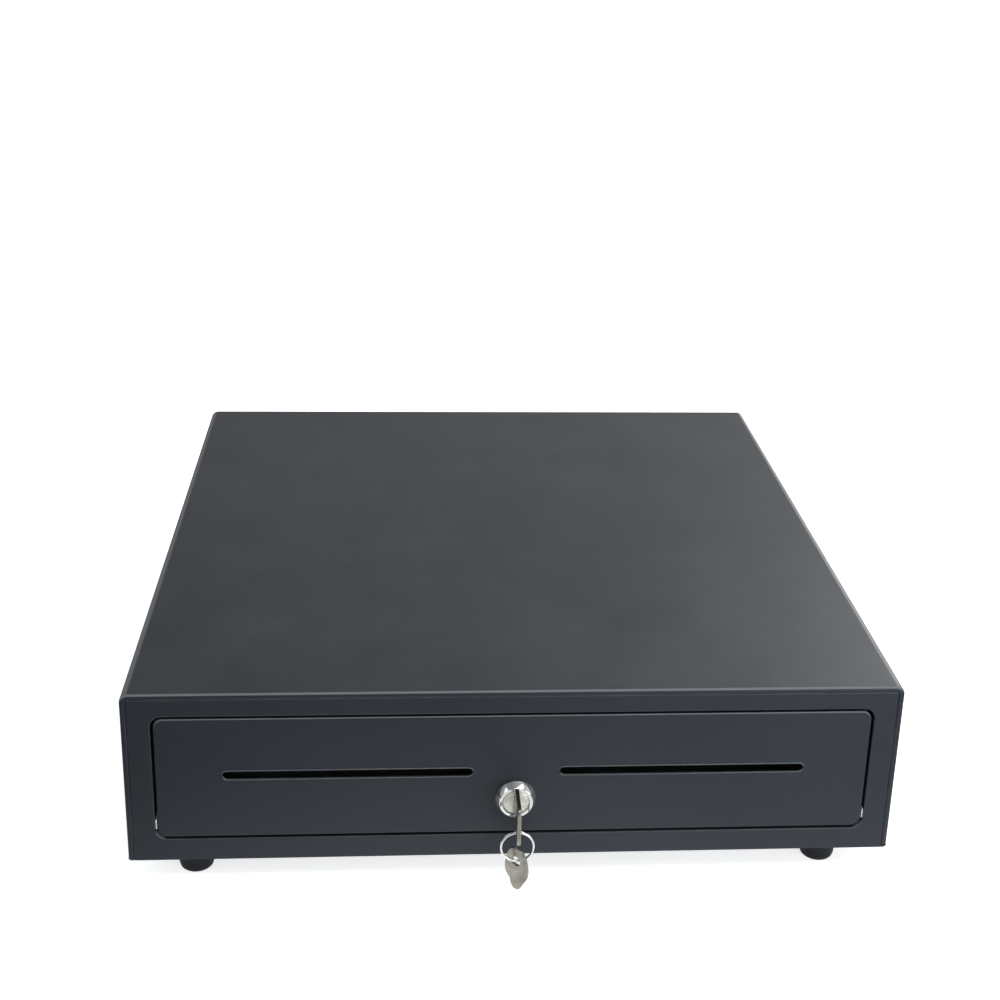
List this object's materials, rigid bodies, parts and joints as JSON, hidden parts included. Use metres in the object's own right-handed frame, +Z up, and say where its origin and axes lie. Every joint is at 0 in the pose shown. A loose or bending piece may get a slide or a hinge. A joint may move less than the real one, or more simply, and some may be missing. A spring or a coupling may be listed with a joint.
{
  "type": "cash drawer",
  "caption": "Steel cash drawer on rubber feet with ball slides, key lock, media slots, solenoid latch and a lift-out tray with note clips and coin cups.",
  "frame": {"origin": "under the middle of the whole object, on the surface that the feet stand on", "axes": "+Z up, -Y towards the user and the way the drawer opens, +X to the right seen from the front"},
  "size_m": [0.41, 0.445, 0.115],
  "materials": {
    "powder_coat": "fine-texture black powder coat",
    "zinc_sheet": "galvanised sheet",
    "rail_zinc": "bright zinc plated rolled steel",
    "bright_steel": "polished steel strip and wire",
    "ball_steel": "polished bearing steel",
    "lock_chrome": "chrome plated die casting",
    "key_nickel": "nickel plated brass, worn",
    "foot_rubber": "black rubber",
    "screw_black": "black oxide screws",
    "tray_plastic": "black moulded plastic, fine texture",
    "electric_plastic": "black electrical plastic",
    "coil_tape": "yellow coil tape",
    "cable_jacket": "black cable jacket"
  },
  "bodies": {
    "housing": {"cover_shell": "powder_coat", "front_frame": "powder_coat", "base_plate": "powder_coat", "rear_panel": "powder_coat", "rubber_feet": "foot_rubber", "feet_screws": "screw_black", "case_screws": "screw_black", "rail_bracket_left": "zinc_sheet", "rail_bracket_right": "zinc_sheet", "rail_outer_left": "rail_zinc", "rail_outer_right": "rail_zinc", "rail_rivets": "rail_zinc", "latch_bracket": "zinc_sheet", "latch_pivot_pin": "bright_steel", "latch_spring": "bright_steel", "solenoid_frame": "zinc_sheet", "solenoid_coil": "coil_tape", "solenoid_lead": "cable_jacket", "jack_socket": "electric_plastic", "status_switch": "electric_plastic", "ejector_guide": "bright_steel", "ejector_spring": "bright_steel"},
    "drawer": {"drawer_pan": "zinc_sheet", "drawer_front": "powder_coat", "panel_nuts": "rail_zinc", "rail_inner_left": "rail_zinc", "rail_inner_right": "rail_zinc", "pan_rivets": "rail_zinc", "lock_barrel": "lock_chrome", "lock_nut": "lock_chrome", "striker": "zinc_sheet", "rod_guides": "zinc_sheet"},
    "middle_rails": {"rail_middle_left": "rail_zinc", "rail_middle_right": "rail_zinc"},
    "outer_cages": {"outer_ball_cages": "rail_zinc", "outer_balls": "ball_steel"},
    "inner_cages": {"inner_ball_cages": "rail_zinc", "inner_balls": "ball_steel"},
    "ejector": {"ejector_plunger": "electric_plastic"},
    "hook": {"latch_hook": "zinc_sheet"},
    "plunger": {"solenoid_plunger": "bright_steel"},
    "plug": {"lock_plug": "lock_chrome", "lock_cam": "lock_chrome", "inserted_key": "key_nickel"},
    "ring": {"key_ring": "lock_chrome"},
    "spare": {"spare_key": "key_nickel"},
    "rod": {"lock_rod": "zinc_sheet"},
    "tray": {"cash_tray": "tray_plastic", "bill_dividers": "tray_plastic", "clip_bar": "bright_steel", "bar_screws": "screw_black", "clip_pin": "bright_steel", "clip_springs": "bright_steel"},
    "cups": {"coin_cups": "tray_plastic"},
    "handle": {"tray_handle": "tray_plastic"},
    "clip_1": {"bill_clip_1": "bright_steel"},
    "clip_2": {"bill_clip_2": "bright_steel"},
    "clip_3": {"bill_clip_3": "bright_steel"},
    "clip_4": {"bill_clip_4": "bright_steel"},
    "clip_5": {"bill_clip_5": "bright_steel"}
  },
  "joints": [
    {"name": "drawer_slide", "type": "slide", "parent": "housing", "child": "drawer", "axis": [0, -1, 0], "range_m": [0, 0.317]},
    {"name": "middle_rail_slide", "type": "slide", "parent": "housing", "child": "middle_rails", "axis": [0, -1, 0], "range_m": [0, 0.159]},
    {"name": "outer_cage_slide", "type": "slide", "parent": "housing", "child": "outer_cages", "axis": [0, -1, 0], "range_m": [0, 0.0795]},
    {"name": "inner_cage_slide", "type": "slide", "parent": "housing", "child": "inner_cages", "axis": [0, -1, 0], "range_m": [0, 0.238]},
    {"name": "ejector_slide", "type": "slide", "parent": "housing", "child": "ejector", "axis": [0, -1, 0], "range_m": [0, 0.0251]},
    {"name": "latch_turn", "type": "hinge", "parent": "housing", "child": "hook", "pos_m": [0.0075, 0.2017, 0.044], "axis": [0, 0, 1], "range_deg": [-14, 0]},
    {"name": "solenoid_pull", "type": "slide", "parent": "housing", "child": "plunger", "axis": [1, 0, 0], "range_m": [-0.00345, 0]},
    {"name": "lock_turn", "type": "hinge", "parent": "drawer", "child": "plug", "pos_m": [0, -0.1943, 0.0502], "axis": [0, 1, 0], "range_deg": [-45, 45]},
    {"name": "rod_turn", "type": "hinge", "parent": "drawer", "child": "rod", "pos_m": [0, 0.0057, 0.0309], "axis": [0, 1, 0], "range_deg": [-28, 28]},
    {"name": "key_ring_swing", "type": "hinge", "parent": "plug", "child": "ring", "pos_m": [0, -0.2143, 0.0425], "axis": [1, 0, 0], "range_deg": [-60, 12]},
    {"name": "spare_key_swing", "type": "hinge", "parent": "ring", "child": "spare", "pos_m": [0, -0.2143, 0.0254], "axis": [0.7071, 0.7071, 0], "range_deg": [-25, 25]},
    {"name": "tray_lift", "type": "slide", "parent": "drawer", "child": "tray", "axis": [0, 0, 1], "range_m": [0, 0.0025]},
    {"name": "coin_cups_lift", "type": "slide", "parent": "tray", "child": "cups", "axis": [0, 0, 1], "range_m": [0, 0.02]},
    {"name": "handle_lift", "type": "hinge", "parent": "tray", "child": "handle", "pos_m": [0, 0.1577, 0.097], "axis": [1, 0, 0], "range_deg": [0, 20]},
    {"name": "bill_clip_1_lift", "type": "hinge", "parent": "tray", "child": "clip_1", "pos_m": [-0.13968, 0.1307, 0.086], "axis": [-1, 0, 0], "range_deg": [0, 50], "stiffness_Nm_per_rad": 0.03, "springref_deg": -20.05},
    {"name": "bill_clip_2_lift", "type": "hinge", "parent": "tray", "child": "clip_2", "pos_m": [-0.06984, 0.1307, 0.086], "axis": [-1, 0, 0], "range_deg": [0, 50], "stiffness_Nm_per_rad": 0.03, "springref_deg": -20.05},
    {"name": "bill_clip_3_lift", "type": "hinge", "parent": "tray", "child": "clip_3", "pos_m": [0, 0.1307, 0.086], "axis": [-1, 0, 0], "range_deg": [0, 50], "stiffness_Nm_per_rad": 0.03, "springref_deg": -20.05},
    {"name": "bill_clip_4_lift", "type": "hinge", "parent": "tray", "child": "clip_4", "pos_m": [0.06984, 0.1307, 0.086], "axis": [-1, 0, 0], "range_deg": [0, 50], "stiffness_Nm_per_rad": 0.03, "springref_deg": -20.05},
    {"name": "bill_clip_5_lift", "type": "hinge", "parent": "tray", "child": "clip_5", "pos_m": [0.13968, 0.1307, 0.086], "axis": [-1, 0, 0], "range_deg": [0, 50], "stiffness_Nm_per_rad": 0.03, "springref_deg": -20.05}
  ],
  "couplings": [
    {"joint": "middle_rail_slide", "follows": "drawer_slide", "ratio": 0.5},
    {"joint": "outer_cage_slide", "follows": "drawer_slide", "ratio": 0.25},
    {"joint": "inner_cage_slide", "follows": "drawer_slide", "ratio": 0.75},
    {"joint": "ejector_slide", "follows": "drawer_slide", "ratio": 0.079},
    {"joint": "rod_turn", "follows": "lock_turn", "ratio": -0.62},
    {"joint": "solenoid_pull", "follows": "latch_turn", "m_per_rad": 0.014}
  ]
}
